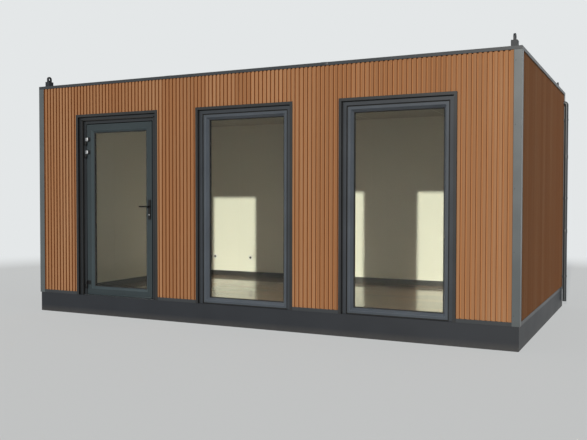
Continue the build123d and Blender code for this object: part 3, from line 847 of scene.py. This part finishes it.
def add_weld(mesh, start, end, radius):
    """A rippled fillet of weld between two points of a level plate."""
    start, end, up = Vector(start), Vector(end), Vector((0, 0, 1))
    across = (end - start).normalized().cross(up)
    sides, spacing = 6, 3 * MM
    least, ripple, chance, ripple_turn = 0.85, 0.2, 0.05, 1.3
    count = max(4, round((end - start).length / spacing))
    rings = []
    for step in range(count + 1):
        centre = start.lerp(end, step / count)
        swell = radius * (least + ripple * abs(math.sin(step * ripple_turn))
                          + chance * rng.random())
        angles = (2 * math.pi * i / sides for i in range(sides))
        rings.append([mesh.verts.new(centre + (up * math.cos(a) + across * math.sin(a)) * swell)
                      for a in angles])
    for near, far in zip(rings, rings[1:]):
        for i in range(sides):
            j = (i + 1) % sides
            mesh.faces.new((near[i], near[j], far[j], far[i]))
    mesh.faces.new(rings[0])
    mesh.faces.new(rings[-1])


def weld_lugs():
    """Weld beads round the foot of each lifting lug."""
    mesh = bmesh.new()
    low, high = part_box("lifting_lugs")
    half_width, half_depth, radius = 31 * MM, 40 * MM, 3.5 * MM
    for side in (-1, 1):
        for end in (-1, 1):
            x, y = side * (high.x - half_width), end * (high.y - half_depth)
            corners = [(x + across * half_width, y + along * half_depth, low.z)
                       for across, along in ((-1, -1), (1, -1), (1, 1), (-1, 1))]
            for start, stop in zip(corners, corners[1:] + corners[:1]):
                add_weld(mesh, start, stop, radius)
    make_piece("lifting_lug_welds", mesh, weld_coat, smooth_under=60)


def dress_hinges():
    """Bright metal caps on the leaf halves of the upper two hinges, a painted highlight on the
    knuckles, and screws in the plates.
    """
    low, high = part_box("hinge_leaf_halves")
    frame_reach, knuckle, pair_pitch, plate = 36 * MM, 50 * MM, 160 * MM, 5 * MM
    pin_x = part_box("hinge_frame_halves")[0].x + frame_reach
    face = leaf[0].y
    upper = high.z - knuckle
    highlit_knuckles = (upper - pair_pitch, upper)
    highlight_caps, screws = bmesh.new(), bmesh.new()
    cap_left, cap_right, cap_proud, cap_easing = 5 * MM, 38 * MM, 23.5 * MM, 5 * MM
    for z in highlit_knuckles:
        add_block(highlight_caps, (pin_x - cap_left, face - cap_proud, z + 2 * MM),
                  (pin_x + cap_right, face - plate, z + knuckle - 1 * MM), cap_easing)
    screw = metres([(4, 0), (3.8, 0.6), (2.4, 1.1), (1.6, 1.1), (1.4, 0.5), (0, 0.5)])
    screw_rises, screw_reaches = (13 * MM, 37 * MM), (28 * MM, 46 * MM)
    for z in (low.z, *highlit_knuckles):
        for rise in screw_rises:
            for reach in screw_reaches:
                add_turned(screws, screw, (pin_x + reach, face - plate, z + rise), (0, -1, 0),
                           sides=14)
    # The caps' bright metal paints the highlight that the upper knuckles catch
    make_piece("hinge_highlight_caps", highlight_caps, aluminium_and_highlight, "door")
    make_piece("hinge_plate_screws", screws, hardware_coat, "door")


def dress_lock():
    """A turned plug with its key slot painted dark as shade each side, the plate on the leaf's
    edge, the keeper.
    """
    low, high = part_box("lock_cylinder")
    x, z = (low.x + high.x) / 2, (low.z + high.z) / 2
    radius, length, step = (high.x - low.x) / 2, high.y - low.y, 0.6 * MM
    front = [(0, 0), (radius * 0.55, 0), (radius * 0.62, step), (radius * 0.66, 0),
             (radius * 0.92, 0), (radius, step)]
    back = [(r, length - d) for r, d in reversed(front)]
    barrel = bmesh.new()
    add_turned(barrel, front + back, (x, low.y, z), (0, 1, 0), sides=32)
    make_piece("lock_barrel", barrel, stainless, "door",
               replaces=("lock_cylinder",))
    # The key slots are thin dark blocks on the plug faces: painted shade of the slots
    slots = bmesh.new()
    slot_width, slot_height, slot_proud = 2 * MM, 8.8 * MM, 0.25 * MM
    for y, out in ((low.y, -1), (high.y, 1)):
        add_block(slots, (x - slot_width / 2, y, z - slot_height / 2),
                  (x + slot_width / 2, y + out * slot_proud, z + slot_height / 2),
                  easing=0.1 * MM)
    make_piece("key_slots", slots, hole_shade_paint, "door")
    edge, middle, half = leaf[1].x, (leaf[0].y + leaf[1].y) / 2, 10 * MM
    jamb = edge + leaf_gap
    faceplate, keeper = bmesh.new(), bmesh.new()
    below, above, thickness = 90 * MM, 170 * MM, 2 * MM
    add_block(faceplate, (edge, middle - half, z - below),
              (edge + thickness, middle + half, z + above), easing=0.4 * MM)
    below, above, thickness = 60 * MM, 140 * MM, 1.5 * MM
    add_block(keeper, (jamb - thickness, middle - half, z - below),
              (jamb, middle + half, z + above), easing=0.4 * MM)
    make_piece("lock_faceplate", faceplate, stainless, "door")
    make_piece("lock_keeper", keeper, stainless)


def dress_backplates():
    """Screws at the ends of the two long backplates."""
    mesh = bmesh.new()
    low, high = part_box("handle_backplates")
    x, from_end = (low.x + high.x) / 2, 14 * MM
    screw = metres([(4, 0), (3.7, 0.5), (2.2, 0.9), (1.5, 0.9), (1.3, 0.4), (0, 0.4)])
    for y, out in ((low.y, -1), (high.y, 1)):
        for z in (low.z + from_end, high.z - from_end):
            add_turned(mesh, screw, (x, y, z), (0, out, 0), sides=14)
    make_piece("backplate_screws", mesh, hardware_coat, "door")


def fit_drip_bar():
    """The bar on the foot of the leaf that throws rain clear, and the strip below it."""
    bar = bmesh.new()
    short, proud, below, above = 12 * MM, 7 * MM, 5 * MM, 14 * MM
    add_block(bar, (leaf[0].x + short, leaf[0].y - proud, leaf[0].z - below),
              (leaf[1].x - short, leaf[0].y, leaf[0].z + above), easing=2 * MM)
    make_piece("door_drip_bar", bar, leaf_coat, "door")
    strip = bmesh.new()
    low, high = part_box("door_threshold")
    sheet, play, from_edge = 1.5 * MM, 1 * MM, 2 * MM
    add_block(strip, (low.x + play, frame_face + from_edge, sill),
              (high.x - play, leaf[0].y - play, sill + sheet), easing=0.4 * MM)
    make_piece("threshold_wear_strip", strip, aluminium_and_highlight)


def dress_downpipe():
    """Socket collars on the pipe and a screw in the foot of each clip."""
    low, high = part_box("downpipe")
    radius, collar_heights = 25 * MM, (1.0, 2.0)
    x, y = high.x - radius, (low.y + high.y) / 2
    collar = metres([(25.2, 0), (27.5, 1.5), (27.5, 46), (26.6, 50), (25.2, 50)])
    screw = metres([(3.5, 0), (3.3, 1.5), (2, 2.2), (0, 2.2)])
    collars, screws = bmesh.new(), bmesh.new()
    for z in collar_heights:
        add_turned(collars, collar, (x, y, z), (0, 0, 1), sides=36)
    make_piece("downpipe_collars", collars, pipe_resin)
    bottom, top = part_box("downpipe_clips")
    half_clip, foot_from_pipe = 11 * MM, 28 * MM
    for z in (bottom.z + half_clip, (bottom.z + top.z) / 2, top.z - half_clip):
        add_turned(screws, screw, (x, y - foot_from_pipe, z), (0, -1, 0), sides=12)
    make_piece("downpipe_clip_screws", screws, stainless)


clad_all_walls()
glaze_openings()
clip_in_beads()
seal_and_shade_frames()
lay_planks()
panel_joints()
socket_inserts()
fix_trims()
cover_cap_joints()
lap_membrane()
weld_lugs()
dress_hinges()
dress_lock()
dress_backplates()
fit_drip_bar()
dress_downpipe()

dress(base_coat, "base_front_beam", "base_rear_beam", "base_side_beams", easing=3 * MM)
dress(base_coat, "floor_joists", "corner_posts", "top_front_rail", "top_rear_rail",
      "top_side_rails")
dress(base_coat, "lifting_lugs", easing=2 * MM)
dress(corner_coat_painted_reflection, "corner_trims", easing=1 * MM)
dress(trim_coat, "bottom_trim", easing=1 * MM)
dress(trim_coat, "roof_cap", easing=1.5 * MM)
dress(surround_coat_painted_shade, "opening_surrounds", easing=1 * MM)
dress(window_frame_coat, "window_1_frame", "window_2_frame", easing=1.5 * MM)
dress(sash_coat, "window_1_sash", "window_2_sash", easing=1.5 * MM)
dress(door_frame_coat_painted_shade, "door_jambs", "door_head", "door_threshold", easing=1.5 * MM)
dress(leaf_coat, "door_leaf", easing=1.5 * MM)
dress(hardware_coat, "hinge_frame_halves", "hinge_leaf_halves", easing=0.8 * MM)
dress(hardware_coat, "handle_backplates", "lever_handles", easing=1.2 * MM)
dress(lining, "front_wall_piers", "front_wall_header", "left_wall", "right_wall", "rear_wall")
dress(ceiling_coat_painted_shade, "ceiling_panel")
dress(membrane, "roof_panel")
dress(plywood, "floor_deck")
dress(skirting_coat, "skirting_boards", easing=2 * MM)
dress(pipe_resin, "downpipe", "downpipe_clips")
dress(socket_resin, "wall_sockets", easing=2 * MM)


# Studio: a pale floor that fades into the backdrop, one soft lamp and an even sky
backdrop = linear("E4E7E8")


def seen_directly(tree):
    """1 for what the camera sees, straight or in metal and glass, and 0 for lighting rays."""
    path = add(tree, "ShaderNodeLightPath").outputs
    mirrored = add(tree, "ShaderNodeMath", {0: path["Is Camera Ray"], 1: path["Is Glossy Ray"]},
                   operation="MAXIMUM").outputs["Value"]
    through = add(tree, "ShaderNodeMath", {0: mirrored, 1: path["Is Transmission Ray"]},
                  operation="MAXIMUM").outputs["Value"]
    unscattered = add(tree, "ShaderNodeMath", {0: path["Diffuse Depth"], 1: 0.5},
                      operation="LESS_THAN").outputs["Value"]
    return add(tree, "ShaderNodeMath", {0: through, 1: unscattered},
               operation="MULTIPLY").outputs["Value"]


def studio_floor():
    """A matt floor that the camera sees turn into the backdrop with distance."""
    material, tree, place = start_material("studio_floor_paint")
    fade_start, fade_end, least_glow = 4.0, 12.0, 0.55
    paint = add(tree, "ShaderNodeBsdfPrincipled", {
        "Base Color": linear("C6C5C2"), "Roughness": 0.9}).outputs["BSDF"]
    glow = add(tree, "ShaderNodeEmission", {
        "Color": backdrop, "Strength": 1.0}).outputs["Emission"]
    reach = add(tree, "ShaderNodeVectorMath", {0: place}, operation="LENGTH").outputs["Value"]
    fade = add(tree, "ShaderNodeMapRange", {
        "Value": reach, "From Min": fade_start, "From Max": fade_end},
        interpolation_type="SMOOTHSTEP").outputs["Result"]
    pale = add(tree, "ShaderNodeMath", {0: fade, 1: least_glow},
               operation="MAXIMUM").outputs["Value"]
    share = add(tree, "ShaderNodeMath", {0: pale, 1: seen_directly(tree)},
                operation="MULTIPLY").outputs["Value"]
    mixed = add(tree, "ShaderNodeMixShader", {0: share, 1: paint, 2: glow}).outputs["Shader"]
    add(tree, "ShaderNodeOutputMaterial", {"Surface": mixed})
    mesh = bmesh.new()
    floor_reach = 150
    bmesh.ops.create_grid(mesh, x_segments=8, y_segments=8, size=floor_reach)
    data = bpy.data.meshes.new("studio_floor")
    mesh.to_mesh(data)
    mesh.free()
    data.materials.append(material)
    floor = bpy.data.objects.new("studio_floor", data)
    floor.location.z = -1 * MM
    bpy.context.scene.collection.objects.link(floor)


def studio_sky():
    """An even sky that lights the cabin, and that the camera sees as the backdrop."""
    world = bpy.data.worlds.new("studio_sky")
    bpy.context.scene.world = world
    world.use_nodes = True
    tree = world.node_tree
    tree.nodes.clear()
    lighting = add(tree, "ShaderNodeBackground", {
        "Color": linear("F3F6FA"), "Strength": 0.19}).outputs["Background"]
    visible = add(tree, "ShaderNodeBackground", {
        "Color": backdrop, "Strength": 1.0}).outputs["Background"]
    mixed = add(tree, "ShaderNodeMixShader", {
        0: seen_directly(tree), 1: lighting, 2: visible}).outputs["Shader"]
    add(tree, "ShaderNodeOutputWorld", {"Surface": mixed})


def studio_lamp():
    """A warm white lamp, low in front and a little to the right."""
    lamp = bpy.data.lights.new("soft_lamp", "SUN")
    lamp.energy = 2.72
    lamp.angle = math.radians(1.2)
    lamp.color = linear("FFFAF2")[:3]
    lamp_object = bpy.data.objects.new("soft_lamp", lamp)
    travel = Vector((-0.091, 1.0, -0.245))
    lamp_object.rotation_mode = "QUATERNION"
    lamp_object.rotation_quaternion = travel.to_track_quat("-Z", "Y")
    bpy.context.scene.collection.objects.link(lamp_object)


def place_camera():
    """The photograph's view, from eye height at the right front."""
    view = bpy.data.cameras.new("photo_view")
    view.sensor_width = 36
    view.lens = 45.84
    view.clip_end = 400
    camera = bpy.data.objects.new("photo_view", view)
    camera.location = (4.2091, -9.0154, 1.4428)
    camera.rotation_euler = [math.radians(angle) for angle in (88.447, -0.09, 26.155)]
    bpy.context.scene.collection.objects.link(camera)
    bpy.context.scene.camera = camera


place_camera()
studio_floor()
studio_sky()
studio_lamp()
bpy.context.scene.view_settings.view_transform = "Standard"
